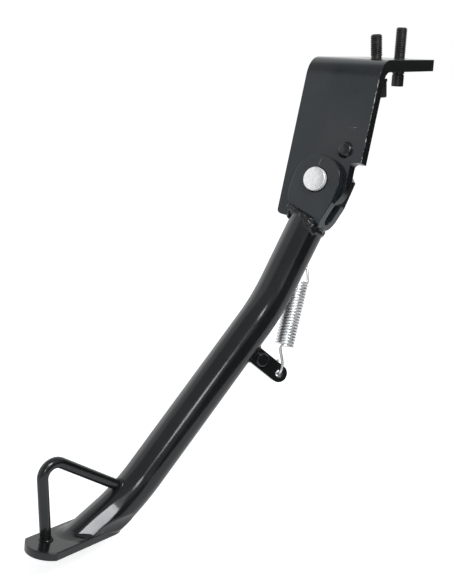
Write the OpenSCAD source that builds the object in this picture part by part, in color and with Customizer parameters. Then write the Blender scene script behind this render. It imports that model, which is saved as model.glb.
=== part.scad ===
/* [Bracket] */
// Width of the bent bracket plate
plate_w = 54; // [50:1:70]
// Thickness of the bracket plate
plate_t = 8; // [6:0.5:9]
// Depth of the bolted flange, from the corner where both outer faces would meet
flange_depth = 88; // [80:1:110]
// Slope distance from that corner down to the pivot
plate_drop = 83; // [72:1:100]
// Angle of the plate from the vertical
plate_lean = 18; // [10:1:26]
// Inner radius of the bend
bend_r = 8; // [5:0.5:12]
// Radius of the flange's two free corners
flange_corner_r = 3; // [1:0.5:8]
// Distance from the plate's forward edge to the pivot
pivot_from_edge = 27.5; // [26:0.5:32]
// Radius of the plate's eye around the pivot
eye_r = 19; // [17:0.5:20]
// Height of the notch's upper edge over the pivot
notch_h = 15; // [14:0.5:20]
// Radius in the notch's inner corner
notch_r = 3; // [1:0.5:4]
// Height of the stop lobe's lower edge under the pivot
lobe_drop = 27; // [26:0.5:29]
// Radius of the lobe's outer corner
lobe_r = 4; // [1:0.5:6]

/* [Flange bolts] */
// Nominal thread diameter
bolt_d = 8; // [6:1:10]
// Radial play of a bolt in its flange hole
bolt_play = 0.5; // [0.4:0.05:0.8]
// Distance between the two bolts
bolt_pitch = 40; // [32:1:50]
// Distance from the flange's corner line to the front bolt
bolt_from_corner = 31; // [30:1:36]
// Distance of the bolts from the middle of the flange
bolt_shift = 6.5; // [0:0.5:12]
// Offset of the front bolt from the rear stud, to the rear
front_bolt_shift = 0.9; // [-2:0.1:2]
// Length of the front bolt above the flange
front_bolt_rise = 16; // [12:0.5:40]
// Lean of the loose front bolt in its hole
bolt_lean = 5; // [0:0.5:5]
// Length of the front bolt between flange and spring washer
front_bolt_slack = 5.5; // [0.5:0.5:8]
// Diameter of the front bolt's cap head
head_d = 14; // [12:0.5:18]
// Height of the cap head
head_h = 10.5; // [5:0.5:12]
// Width across the flats of the hexagon socket
socket_w = 6; // [4:0.5:8]
// Thickness of the spring washer
washer_t = 2.2; // [1:0.1:3]
// Length of the rear stud above the flange
rear_stud_rise = 21.5; // [12:0.5:40]
// Length of the rear stud's plain shoulder below the flange
shoulder_len = 11.5; // [5:0.5:20]
// Diameter of the plain shoulder
shoulder_d = 8.6; // [8.6:0.2:10]

/* [Pivot] */
// Diameter of the pivot pin
pin_d = 10; // [8:0.5:12]
// Radial running clearance of the pin in the bracket's eye
pin_play = 0.05; // [0.02:0.01:0.1]
// Diameter of the pin's head
pin_head_d = 15.6; // [14:0.2:20]
// Height of the pin's head
pin_head_h = 3.4; // [2:0.2:5]
// Thickness of the washer behind the rear ear
pin_washer_t = 1.5; // [1:0.1:2.5]
// Thickness of the retaining clip
clip_t = 1.2; // [0.8:0.1:1.6]

/* [Clevis] */
// Thickness of the strap
strap_t = 6; // [4:0.5:8]
// Gap between the plate and each ear
ear_gap = 0.3; // [0.2:0.05:0.6]
// Radius of the ears
ear_r = 17; // [16:0.5:17.5]
// Distance from the pivot down to the slot's floor
slot_depth = 24; // [23:0.5:27]
// Gap left between the stop lobe and the strap with the leg out
stop_gap = 0.15; // [0.1:0.05:0.4]

/* [Stop stud] */
// Diameter of the stop stud
stud_d = 10; // [7:0.5:10]
// Height of the stop stud over the plate
stud_h = 3; // [2:0.5:8]
// Place of the stop stud, to the rear of the pivot
stud_u = 13.5; // [12:0.5:16]
// Place of the stop stud, up the plate from the pivot
stud_w = 22.5; // [22:0.5:28]

/* [Leg] */
// Angle of the leg from straight down the plate, towards the front
leg_swing = 16; // [8:1:20]
// Outer diameter of the tube
tube_d = 25; // [22:0.5:26]
// Wall of the tube
tube_wall = 2.5; // [1.5:0.5:3]
// Distance of the tube's centre line from the pivot, to the rear
tube_shift = 3.2; // [0:0.2:4]
// Distance from the pivot to the knee of the leg
upper_len = 90; // [80:1:120]
// Distance from the knee to the ankle
lower_len = 158; // [140:1:200]
// Distance from the ankle to the tread plate
ankle_len = 28; // [26:1:34]
// Angle of the knee
knee_angle = 21; // [10:1:26]
// Angle of the ankle
ankle_angle = 24; // [15:1:27]
// Centre line radius of the tube's bends
tube_bend_r = 95; // [70:5:110]

/* [Foot] */
// Lean of the vehicle on the stand
ground_lean = 8; // [4:1:12]
// Thickness of the tread plate
tread_t = 5; // [3:0.5:8]
// Width of the tread plate
tread_w = 27; // [26:0.5:40]
// Distance of the tread plate's middle from the tube's centre, to the front
tread_shift = 4; // [0:0.5:6]
// Distance from the tube's centre to the tread plate's front corners
toe_len = 43; // [38:1:60]
// Height of the arc between those corners
toe_arc = 7.5; // [4:0.5:12]
// Distance from the tube's centre back to the centre of the round heel
heel_len = 10; // [9:0.5:16]

/* [Foot loop] */
// Diameter of the rod
rod_d = 7; // [6:0.5:9]
// Distance of the rod's foot from the tube's centre
rod_foot = 36; // [32:0.5:37]
// Distance of the loop's corner from the tube's centre
loop_reach = 44; // [40:0.5:56]
// Height of the loop's corner over the tread plate
loop_h = 54.5; // [50:0.5:70]
// Height at which the rod meets the tube
loop_join_h = 25; // [24:0.5:30]
// Centre line radius of the loop's bend
loop_r = 10; // [7:0.5:14]

/* [Spring lug] */
// Distance of the lug's middle below the knee
lug_place = 32; // [28:0.5:60]
// Turn of the lug towards the back of the leg
lug_turn = 50; // [40:1:60]
// Distance of the lug's hole from the tube's centre
lug_reach = 35.5; // [32:0.5:40]
// Width of the lug
lug_w = 12; // [10:0.5:14]
// Thickness of the lug
lug_t = 5; // [3:0.5:6]
// Diameter of the lug's hole
lug_hole_d = 5; // [4.5:0.1:5.5]
// Diameter of the peg on the lug
peg_d = 9.4; // [6:0.2:10]
// Height of the peg over the lug
peg_h = 3.6; // [2:0.2:6]
// Distance of the peg from the tube's centre
peg_reach = 18.6; // [18.4:0.1:22]

/* [Spring] */
// Wire diameter
wire_d = 1.9; // [1.4:0.1:2]
// Outer diameter of the coil
coil_d = 13.6; // [10:0.2:14]
// Number of turns
coil_turns = 23; // [12:1:24]
// Free gap between turns
turn_gap = 0.2; // [0.1:0.05:0.4]
// Distance from the lug's hole to the coil's lower end
lower_hook_len = 19.5; // [15:0.5:26]
// Place of the spring post, to the front of the pivot
post_u = 14; // [12:0.5:18]
// Place of the spring post, up the plate from the pivot
post_w = 20; // [19.5:0.5:26]
// Diameter of the spring post
post_d = 7; // [6:0.5:8]
// Distance from the plate's back face to the hook
post_reach = 22; // [20:0.5:28]

/* [Hidden] */
$fn = 64;
eps = 0.01;
// A bend is thinner by a hair than the straights that it runs into
seam = 0.05;
lap = 0.5;
far = 400;
black = "#1b1d1f";
zinc = "#c9ccd0";

// Bracket, seen from the front bolt's side: x to the rear, y inwards, z up
outer_bend_r = bend_r + plate_t;
bend_turn = 90 - plate_lean;
bend_tangent = outer_bend_r * tan(bend_turn / 2);
bend_lap = lap / outer_bend_r * 180 / PI;
corner_y = -bolt_from_corner - bolt_pitch / 2;
plate_left = -plate_w / 2 - bolt_shift;
pivot_pos = [plate_left + pivot_from_edge, corner_y - plate_drop * sin(plate_lean),
    -plate_drop * cos(plate_lean)];
plate_top = plate_drop - bend_tangent;
edge_front = -pivot_from_edge;
edge_rear = plate_w - pivot_from_edge;

// Bolts
bolt_y = bolt_pitch / 2;
bolt_hole_r = bolt_d / 2 + bolt_play;
shank_r = bolt_d / 2 - 0.45;
thread_start = 2;
washer_hole_r = bolt_d / 2 + 0.1;
washer_top = -plate_t - front_bolt_slack;
head_top = washer_top - washer_t;
tip_chamfer = 0.9;

// Clevis, in the leg's own frame: x to the rear, y inwards, z up along the leg
half_slot = plate_t / 2 + ear_gap;
half_clevis = half_slot + strap_t;
clevis_floor = -slot_depth;
clevis_round_z = clevis_floor + half_slot;
clevis_bottom = clevis_round_z - half_clevis;
belly_x = 0.8;
belly_z = -9;
waist_r = 5;
waist_z = clevis_bottom + waist_r;
ear_chamfer_x = 5.5;
ear_chamfer_z = 8.6;
web_top = clevis_round_z;
tube_top = clevis_floor - 1;

// Pin
pin_fit = 0.02;
clip_groove = 1;
pin_tail = 1.6;
clip_y = half_clevis + pin_washer_t;
pin_end = clip_y + clip_t + pin_tail;

// Leg tube
tube_r = tube_d / 2;
bore_r = tube_r - tube_wall;
knee_tangent = tube_bend_r * tan(knee_angle / 2);
ankle_tangent = tube_bend_r * tan(ankle_angle / 2);

// A point turned about x or y
function turn_x(a, p) = [p.x, p.y * cos(a) - p.z * sin(a), p.y * sin(a) + p.z * cos(a)];
function turn_y(a, p) = [p.x * cos(a) + p.z * sin(a), p.y, p.z * cos(a) - p.x * sin(a)];
function turn_z(a, p) = [p.x * cos(a) - p.y * sin(a), p.x * sin(a) + p.y * cos(a), p.z];
// A direction or a point of the plate or of the leg, in the part's frame
function plate_dir(p) = turn_x(-plate_lean, p);
function plate_point(p) = pivot_pos + plate_dir(p);
function leg_dir(p) = plate_dir(turn_y(leg_swing, p));
function leg_point(p) = plate_point([0, plate_t / 2, 0] + turn_y(leg_swing, p));

foot_bend = knee_angle + ankle_angle;
knee = [tube_shift, 0, -upper_len];
ankle = knee + lower_len * turn_x(-knee_angle, [0, 0, -1]);
foot_centre = ankle + ankle_len * turn_x(-foot_bend, [0, 0, -1]);
// The tube's last stretch, seen along the tread plate
foot_dir = turn_x(ground_lean, leg_dir(turn_x(-foot_bend, [0, 0, -1])));
foot_heading = atan2(foot_dir.x, -foot_dir.y);
foot_angle = asin(-foot_dir.z);
toe_r = (pow(tread_w / 2, 2) + pow(toe_arc, 2)) / (2 * toe_arc);
weld_h = 2.6;
weld_spread = 2.4;

// Foot loop, in the upright plane through the tube's last stretch: reach outwards, height
rod_base = [rod_foot, 0];
loop_corner = [loop_reach, loop_h];
rod_join = [-(loop_join_h - tube_r / cos(foot_angle)) / tan(foot_angle), loop_join_h];

// Spring, from the lug's hole to the post
lug_normal = turn_x(-knee_angle, turn_z(lug_turn, [0, -1, 0]));
lug_hole = knee + turn_x(-knee_angle, turn_z(lug_turn, [lug_reach, 0, 0]) - [0, 0, lug_place]);
spring_foot = leg_point(lug_hole);
spring_head = plate_point([-post_u, plate_t + post_reach, post_w]);
spring_run = spring_head - spring_foot;
spring_len = norm(spring_run);
spring_tilt = acos(spring_run.z / spring_len);
spring_heading = atan2(spring_run.y, spring_run.x);
// A direction of the part's frame as the spring's own frame sees it
function spring_view(p) = turn_y(-spring_tilt, turn_z(-spring_heading, p));
lug_view = spring_view(leg_dir(lug_normal));
lug_roll = atan2(lug_view.y, lug_view.x);
post_view = spring_view(plate_dir([0, 1, 0]));
post_roll = atan2(post_view.y, post_view.x) + 90;
coil_r = (coil_d - wire_d) / 2;
coil_pitch = wire_d + turn_gap;
// The coil's last part of a turn, in steps
steps = 15;
part_steps = 4;
coil_len = (coil_turns + part_steps / steps) * coil_pitch;
groove_r = post_d / 2 - 1;
upper_hook_r = groove_r + wire_d / 2 + 0.3;
lug_land = (lug_w / 2 + lug_hole_d / 2) / 2;
lower_hook_r = lug_land + 0.35;
hook_tail = 5;

// A point on the spring's wire at turn a, distance r from the axis and height z
function ring_point(r, a, z) = [r * cos(a), r * sin(a), z];
function blend(a, b, t) = a + (b - a) * t;
function ease(t) = t * t * (3 - 2 * t);
function unit(v) = v / norm(v);

// The plane slab between y and y + thickness, with its outline in x and z
module slab(y, thickness) {
    translate([0, y + thickness, 0]) rotate([90, 0, 0]) linear_extrude(thickness) children();
}

// A round bar along y
module cross_bar(y, length, r) {
    translate([0, y, 0]) rotate([-90, 0, 0]) cylinder(h = length, r = r);
}

// A square with round corners, from its lowest corner
module round_square(size, r) {
    for (x = [r, size.x - r], y = [r, size.y - r]) translate([x, y]) circle(r);
    translate([r, 0]) square([size.x - 2 * r, size.y]);
    translate([0, r]) square([size.x, size.y - 2 * r]);
}

// Places children at the pivot, in the plate's frame
module at_plate() {
    translate(pivot_pos) rotate([-plate_lean, 0, 0]) children();
}

// Places children at the pivot, in the leg's frame
module at_leg() {
    at_plate() translate([0, plate_t / 2, 0]) rotate([0, leg_swing, 0]) children();
}

// Places children at the knee, along the lower leg
module at_knee() {
    translate(knee) rotate([-knee_angle, 0, 0]) children();
}

// Places children at the tube's foot, in the tread plate's frame
module at_foot() {
    translate(foot_centre) rotate([0, -leg_swing, 0]) rotate([plate_lean - ground_lean, 0, 0]) children();
}

// Places children at the foot, with -y in line with the tube
module at_loop() {
    at_foot() rotate([0, 0, foot_heading]) children();
}

// Places children at the lug's root, with x out along the lug and z up the leg
module at_lug() {
    at_knee() translate([0, 0, -lug_place]) rotate([0, 0, lug_turn]) children();
}

// A bend that starts along -z at the origin and turns towards -y
module tube_bend(bend_radius, angle, r) {
    extra = lap / bend_radius * 180 / PI;
    translate([0, -bend_radius, 0]) rotate([-90, 0, 90]) rotate([0, 0, -extra])
        rotate_extrude(angle = angle + 2 * extra, $fn = 128)
            translate([bend_radius, 0]) circle(r - seam);
}

// Discs under the eye that the strap's outline is drawn around
module strap_discs(grow) {
    side = tube_r - waist_r;
    translate([belly_x, belly_z]) circle(ear_r + grow);
    for (x = [tube_shift - side, tube_shift + side]) translate([x, waist_z]) circle(waist_r + grow);
}

// Front outline of the strap, grown by a gap
module strap_outline(grow = 0) {
    hull() {
        circle(ear_r + grow);
        strap_discs(grow);
    }
}

// Rear ear, with its two upper corners clipped
module rear_outline() {
    hull() {
        polygon([[-ear_r, ear_chamfer_z], [-ear_chamfer_x, ear_r], [ear_chamfer_x, ear_r],
            [ear_r, ear_chamfer_z]]);
        strap_discs(0);
    }
}

// The strap's web and the tube as the plate meets them at the stop, in plate coordinates
module stop_clearance() {
    rotate(-leg_swing) {
        intersection() {
            strap_outline(stop_gap);
            translate([-far / 2, -far]) square([far, far + web_top]);
        }
        translate([tube_shift - tube_r - 2 * stop_gap, -far]) square([far, far + tube_top + stop_gap]);
    }
}

// Outline of the plate below the bend: eye, stop lobe and notch
module plate_outline() {
    notch_w = edge_rear - eye_r;
    difference() {
        union() {
            translate([edge_front, notch_h]) square([plate_w, plate_top - notch_h]);
            translate([edge_front, web_top]) square([pivot_from_edge, notch_h - web_top + 1]);
            circle(eye_r);
            square([eye_r, notch_h + notch_r]);
            translate([edge_front, -lobe_drop]) round_square([lobe_r * 4, lobe_drop], lobe_r);
            difference() {
                translate([eye_r, notch_h - notch_r]) square(notch_r);
                translate([eye_r + notch_r, notch_h - notch_r]) circle(notch_r);
            }
        }
        difference() {
            stop_clearance();
            circle(eye_r);
        }
    }
}

module bracket() {
    color(black) difference() {
        union() {
            // Flange, with its two free corners rounded
            translate([plate_left, corner_y + bend_tangent, -plate_t]) {
                depth = flange_depth - bend_tangent;
                linear_extrude(plate_t) {
                    square([plate_w, depth - flange_corner_r]);
                    round_square([plate_w, depth], flange_corner_r);
                }
            }
            // Bend
            translate([plate_left, corner_y + bend_tangent, -outer_bend_r])
                rotate([180, -90, 0]) rotate([0, 0, -bend_lap])
                    rotate_extrude(angle = bend_turn + 2 * bend_lap, $fn = 128)
                        translate([bend_r + seam, 0]) square([plate_t - 2 * seam, plate_w]);
            // Sloping plate
            at_plate() slab(0, plate_t) plate_outline();
        }
        at_plate() {
            cross_bar(-1, plate_t + 2, pin_d / 2 + pin_play);
            translate([stud_u, 0, stud_w]) cross_bar(-1, plate_t + 2, stud_d / 4);
        }
        translate([front_bolt_shift, -bolt_y, -plate_t - 1]) cylinder(h = plate_t + 2, r = bolt_hole_r);
        translate([0, bolt_y, -plate_t - 1]) cylinder(h = plate_t + 2, r = shank_r);
    }
}

// Riveted peg that stops the folded leg
module stop_stud() {
    r = stud_d / 2;
    crown = 1.2;
    color(black) at_plate() translate([stud_u, 0, stud_w]) rotate([90, 0, 0])
        rotate_extrude() polygon([[0, -plate_t], [r / 2, -plate_t], [r / 2, 0], [r, 0],
            [r, stud_h - crown], [r - crown / 3, stud_h - crown / 3], [r - crown, stud_h], [0, stud_h]]);
}

// Post for the spring's upper hook, welded on the plate's back
module spring_post() {
    r = post_d / 2;
    foot = 1.8;
    half_groove = wire_d / 2 + 0.6;
    tip = post_reach + half_groove + 2;
    color(black) at_plate() translate([-post_u, plate_t, post_w]) rotate([-90, 0, 0])
        rotate_extrude() polygon([[0, 0], [r + foot, 0], [r, foot], [r, post_reach - half_groove],
            [groove_r, post_reach - half_groove], [groove_r, post_reach + half_groove],
            [r, post_reach + half_groove], [r, tip - 0.6], [r - 0.6, tip], [0, tip]]);
}

// Places children at the front bolt, which leans in its hole
module at_front_bolt() {
    translate([front_bolt_shift, -bolt_y, 0]) rotate([0, -bolt_lean, 0]) children();
}

module front_bolt() {
    r = bolt_d / 2;
    head_r = head_d / 2;
    edge = 0.8;
    socket_depth = head_h / 2;
    color(black) at_front_bolt() difference() {
        rotate_extrude() polygon([[0, head_top - head_h], [head_r - edge, head_top - head_h],
            [head_r, head_top - head_h + edge], [head_r, head_top], [shank_r, head_top],
            [shank_r, thread_start], [r, thread_start], [r, front_bolt_rise - tip_chamfer],
            [r - tip_chamfer, front_bolt_rise], [0, front_bolt_rise]]);
        translate([0, 0, head_top - head_h - 1])
            cylinder(h = socket_depth + 1, r = socket_w / sqrt(3), $fn = 6);
    }
}

// Split spring washer on the cap head
module front_bolt_washer() {
    outer_r = head_d / 2 + 0.4;
    slit = 1.2;
    color(black) at_front_bolt() translate([0, 0, head_top]) difference() {
        cylinder(h = washer_t, r = outer_r);
        translate([0, 0, -1]) cylinder(h = washer_t + 2, r = washer_hole_r);
        translate([0, -slit / 2, -1]) cube([outer_r + 1, slit, washer_t + 2]);
    }
}

module rear_stud() {
    r = bolt_d / 2;
    shoulder_r = shoulder_d / 2;
    low = -plate_t - shoulder_len;
    groove_z = -plate_t - 2.6;
    groove = 0.7;
    edge = 0.5;
    color(black) translate([0, bolt_y, 0])
        rotate_extrude() polygon([[0, low], [shoulder_r - edge, low], [shoulder_r, low + edge],
            [shoulder_r, groove_z - groove], [shank_r, groove_z - groove], [shank_r, groove_z],
            [shoulder_r, groove_z], [shoulder_r, -plate_t], [shank_r, -plate_t], [shank_r, 0], [r, 0],
            [r, rear_stud_rise - tip_chamfer], [r - tip_chamfer, rear_stud_rise], [0, rear_stud_rise]]);
}

// Plated pin with a flat round head in front and a clip groove behind
module pivot_pin() {
    r = pin_d / 2;
    head_r = pin_head_d / 2;
    edge = 0.7;
    face = -half_clevis - pin_head_h;
    neck = r - clip_groove;
    color(zinc) at_leg() rotate([-90, 0, 0])
        rotate_extrude() polygon([[0, face], [head_r - edge, face], [head_r, face + edge],
            [head_r, -half_clevis], [r, -half_clevis], [r, clip_y], [neck, clip_y],
            [neck, clip_y + clip_t], [r, clip_y + clip_t], [r, pin_end - edge], [r - edge, pin_end],
            [0, pin_end]]);
}

module pivot_washer() {
    color(zinc) at_leg() difference() {
        cross_bar(half_clevis, pin_washer_t, pin_head_d / 2 + 1);
        cross_bar(half_clevis - 1, pin_washer_t + 2, pin_d / 2 + pin_fit);
    }
}

// Retaining clip with an open mouth towards the tube
module pivot_clip() {
    neck = pin_d / 2 - clip_groove + pin_fit;
    color(zinc) at_leg() difference() {
        cross_bar(clip_y, clip_t, pin_head_d / 2 - 0.6);
        cross_bar(clip_y - 1, clip_t + 2, neck);
        translate([-neck * 0.8, clip_y - 1, -pin_head_d]) cube([neck * 1.6, clip_t + 2, pin_head_d]);
    }
}

// Flat strap folded into a U: round front ear, clipped rear ear
module clevis_body() {
    difference() {
        union() {
            intersection() {
                slab(-half_clevis, half_clevis) strap_outline();
                clevis_side();
            }
            intersection() {
                slab(0, half_clevis) rear_outline();
                clevis_side();
            }
        }
        cross_bar(-half_clevis - 1, 2 * half_clevis + 2, pin_d / 2 + pin_fit);
    }
}

// Side view of the folded strap, along x
module clevis_side() {
    translate([-far / 2, 0, 0]) rotate([90, 0, 90]) linear_extrude(far) difference() {
        union() {
            translate([0, clevis_round_z]) circle(half_clevis);
            translate([-half_clevis, clevis_round_z]) square([2 * half_clevis, 2 * slot_depth]);
        }
        translate([0, clevis_round_z]) circle(half_slot);
        translate([-half_slot, clevis_round_z]) square([2 * half_slot, 3 * slot_depth]);
    }
}

module clevis() {
    color(black) at_leg() clevis_body();
}

// Solid bar along the leg's bent centre line
module leg_bar(r) {
    translate([tube_shift, 0, -upper_len + knee_tangent])
        cylinder(h = upper_len - knee_tangent + tube_top, r = r);
    translate([tube_shift, 0, -upper_len + knee_tangent]) tube_bend(tube_bend_r, knee_angle, r);
    at_knee() {
        translate([0, 0, ankle_tangent - lower_len])
            cylinder(h = lower_len - ankle_tangent - knee_tangent, r = r);
        translate([0, 0, ankle_tangent - lower_len]) {
            tube_bend(tube_bend_r, ankle_angle, r);
            translate([0, -tube_bend_r, 0]) rotate([-ankle_angle, 0, 0]) translate([0, tube_bend_r, -2 * ankle_len])
                cylinder(h = 2 * ankle_len, r = r);
        }
    }
}

// Everything under the tread plate's upper face
module below_tread() {
    at_foot() translate([-far / 2, -far / 2, -far]) cube([far, far, far]);
}

module leg_tube() {
    color(black) at_leg() difference() {
        leg_bar(tube_r);
        leg_bar(bore_r);
        clevis_body();
        below_tread();
    }
}

// Beads on both faces of the strap and under its fold, at the tube's end
module clevis_weld() {
    bead = 2;
    color(black) at_leg() difference() {
        union() {
            for (y = [-half_clevis, half_clevis]) translate([tube_shift, y, tube_top])
                rotate([0, 90, 0]) cylinder(h = tube_r + 2 * bead, r = bead, center = true);
            translate([tube_shift + tube_r - bead, 0, clevis_bottom])
                cross_bar(-half_slot - bead, 2 * (half_slot + bead), 1.5 * bead);
        }
        clevis_body();
        leg_bar(tube_r);
    }
}

module tread_outline() {
    translate([-tread_shift, 0]) {
        translate([-tread_w / 2, -toe_len]) square([tread_w, toe_len + heel_len]);
        translate([0, heel_len]) circle(tread_w / 2);
        intersection() {
            translate([0, toe_r - toe_len - toe_arc]) circle(toe_r);
            translate([-tread_w / 2, -toe_len - toe_arc]) square([tread_w, toe_arc + eps]);
        }
    }
}

module foot_plate() {
    color(black) at_leg() at_foot() translate([0, 0, -tread_t]) linear_extrude(tread_t) tread_outline();
}

// Fillet bead where the tube's slanted end stands on the tread plate
module foot_weld() {
    color(black) at_leg() intersection() {
        difference() {
            leg_bar(tube_r + weld_spread);
            leg_bar(tube_r);
        }
        at_foot() linear_extrude(weld_h) tread_outline();
    }
}

// Bent rod in the loop's plane, as a solid bar; out is -y and up is z
module loop_bar(r) {
    down = unit(rod_base - loop_corner);
    back = unit(rod_join - loop_corner);
    turn = 180 - acos(down * back);
    tangent = loop_r * tan(turn / 2);
    rod_start = loop_corner + tangent * down;
    rod_end = loop_corner + tangent * back;
    rod_slant = atan2(down.x, -down.y);
    join_slant = atan2(back.x, -back.y);
    at_loop() {
        translate([0, -rod_start.x, rod_start.y]) rotate([-rod_slant, 0, 0])
            translate([0, 0, -loop_h]) cylinder(h = loop_h, r = r);
        translate([0, -rod_end.x, rod_end.y]) rotate([-join_slant, 0, 0])
            translate([0, 0, -far / 4]) cylinder(h = far / 4, r = r);
        translate([0, -rod_start.x, rod_start.y]) rotate([-rod_slant, 0, 0]) rotate([0, 0, 180])
            mirror([0, 0, 1]) tube_bend(loop_r, turn, r);
    }
}

// Half space on the toe side of the leg's centre line, so that the rod ends in the tube
module toe_side() {
    at_loop() translate([-far / 2, -far, -tread_t]) cube([far, far - rod_join.x + rod_d, far]);
}

module foot_loop() {
    color(black) at_leg() difference() {
        intersection() {
            loop_bar(rod_d / 2);
            toe_side();
        }
        leg_bar(tube_r);
        below_tread();
    }
}

// Beads at both ends of the loop
module loop_weld() {
    bead = 1.6;
    down = unit(rod_base - loop_corner);
    back = unit(rod_join - loop_corner);
    color(black) at_leg() difference() {
        at_loop() {
            translate([0, -rod_base.x, rod_base.y]) rotate([-atan2(down.x, -down.y), 0, 0])
                ring(rod_d / 2, bead);
            translate([0, -rod_join.x, rod_join.y]) rotate([-atan2(back.x, -back.y), 0, 0])
                ring(rod_d / 2, bead * 1.6);
        }
        leg_bar(tube_r);
        loop_bar(rod_d / 2);
        below_tread();
    }
}

module ring(r, bead) {
    rotate_extrude() translate([r, 0]) circle(bead);
}

module lug_body() {
    at_lug() difference() {
        slab(-lug_t / 2, lug_t) {
            translate([lug_reach, 0]) circle(lug_w / 2);
            translate([0, -lug_w / 2]) square([lug_reach, lug_w]);
        }
        translate([lug_reach, 0, 0]) cross_bar(-lug_t, 2 * lug_t, lug_hole_d / 2);
    }
}

module spring_lug() {
    color(black) at_leg() difference() {
        lug_body();
        leg_bar(tube_r);
    }
}

// Beads along both faces of the lug's root
module lug_weld() {
    bead = 1.5;
    color(black) at_leg() difference() {
        at_lug() for (side = [-1, 1]) translate([tube_r - 0.4, side * lug_t / 2, 0]) {
            cylinder(h = lug_w, r = bead, center = true);
            for (z = [-lug_w / 2, lug_w / 2]) translate([0, 0, z]) sphere(bead);
        }
        leg_bar(tube_r);
        lug_body();
        at_lug() translate([peg_reach, 0, 0]) cross_bar(-far, far, peg_d / 2 + 0.1);
    }
}

// Round peg on the lug's front face
module lug_peg() {
    r = peg_d / 2;
    edge = 0.8;
    color(black) at_leg() difference() {
        at_lug() translate([peg_reach, -lug_t / 2, 0]) rotate([90, 0, 0])
            rotate_extrude() polygon([[0, 0], [r, 0], [r, peg_h - edge], [r - edge, peg_h], [0, peg_h]]);
        leg_bar(tube_r);
    }
}

// The spring's wire in its own frame, from the open end at the lug to the one at the post
lower_arc = [for (i = [0:10]) let (a = 180 + 18 * i)
    turn_z(lug_roll, [lower_hook_r * cos(a), 0, lug_land + lower_hook_r * sin(a)])];
lower_open = turn_z(lug_roll, [-lower_hook_r, 0, lug_land + hook_tail]);
lower_rise = turn_z(lug_roll, [lower_hook_r, 0, lug_land + hook_tail]);
coil_start = lug_roll - 32;
coil_end = coil_start + 360 * (coil_turns + part_steps / steps);
coil_top = lower_hook_len + coil_len;
bend_turn_in = 14;
bend_drop = 1.3;
neck_foot = ring_point(coil_r, coil_start - bend_turn_in, lower_hook_len - bend_drop);
lower_neck = [for (i = [1:5]) let (t = ease(i / 5)) [blend(lower_rise.x, neck_foot.x, t),
    blend(lower_rise.y, neck_foot.y, t), blend(lower_rise.z, neck_foot.z, i / 5)]];
coil = [for (i = [0:coil_turns * steps + part_steps]) ring_point(coil_r, coil_start + 360 * i / steps,
    lower_hook_len + coil_pitch * i / steps)];
neck_rise = 24;
neck_head = ring_point(coil_r, coil_end + bend_turn_in, coil_top + bend_drop);
upper_aim = turn_z(post_roll, [upper_hook_r, 0, 0]);
upper_neck = [for (i = [0:8]) let (t = ease(i / 9)) [blend(neck_head.x, upper_aim.x, t),
    blend(neck_head.y, upper_aim.y, t), neck_head.z + neck_rise * i / 9]];
upper_rise = turn_z(post_roll, [upper_hook_r, 0, spring_len - hook_tail]);
upper_arc = [for (i = [0:10]) let (a = 18 * i)
    turn_z(post_roll, [upper_hook_r * cos(a), 0, spring_len + upper_hook_r * sin(a)])];
upper_open = turn_z(post_roll, [-upper_hook_r, 0, spring_len - hook_tail]);
wire_route = concat([lower_open], lower_arc, [lower_rise], lower_neck, coil, upper_neck,
    [upper_rise], upper_arc, [upper_open]);

// Directions along the route, and one side direction carried along it without twist
function route_dir(p, i) = unit(p[min(i + 1, len(p) - 1)] - p[max(i - 1, 0)]);
function square_to(v, t) = unit(v - t * (v * t));
function sides(p) = [for (i = 0, s = square_to([0.3, 1, 0.2], route_dir(p, 0)); i < len(p);
    i = i + 1, s = square_to(s, route_dir(p, min(i, len(p) - 1)))) s];

// One closed tube of radius r along the points
module sweep(points, r, corners) {
    side = sides(points);
    rings = [for (i = [0:len(points) - 1]) let (t = route_dir(points, i), u = side[i], v = cross(t, u))
        for (k = [0:corners - 1]) points[i] + r * (u * cos(360 * k / corners) + v * sin(360 * k / corners))];
    last = (len(points) - 1) * corners;
    faces = concat(
        [[for (k = [corners - 1:-1:0]) k]],
        [for (i = [0:len(points) - 2]) for (k = [0:corners - 1]) let (a = i * corners + k,
            b = i * corners + (k + 1) % corners) [a, b, b + corners, a + corners]],
        [[for (k = [0:corners - 1]) last + k]]);
    polyhedron(points = rings, faces = faces, convexity = 20);
}

module spring() {
    color(zinc) translate(spring_foot) rotate([0, spring_tilt, spring_heading])
        sweep(wire_route, wire_d / 2, 7);
}

bracket();
stop_stud();
spring_post();
front_bolt();
front_bolt_washer();
rear_stud();
pivot_pin();
pivot_washer();
pivot_clip();
clevis();
clevis_weld();
leg_tube();
foot_plate();
foot_weld();
foot_loop();
loop_weld();
spring_lug();
lug_weld();
lug_peg();
spring();
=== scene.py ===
import math

import bpy
from mathutils import Matrix, Vector, noise

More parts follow.
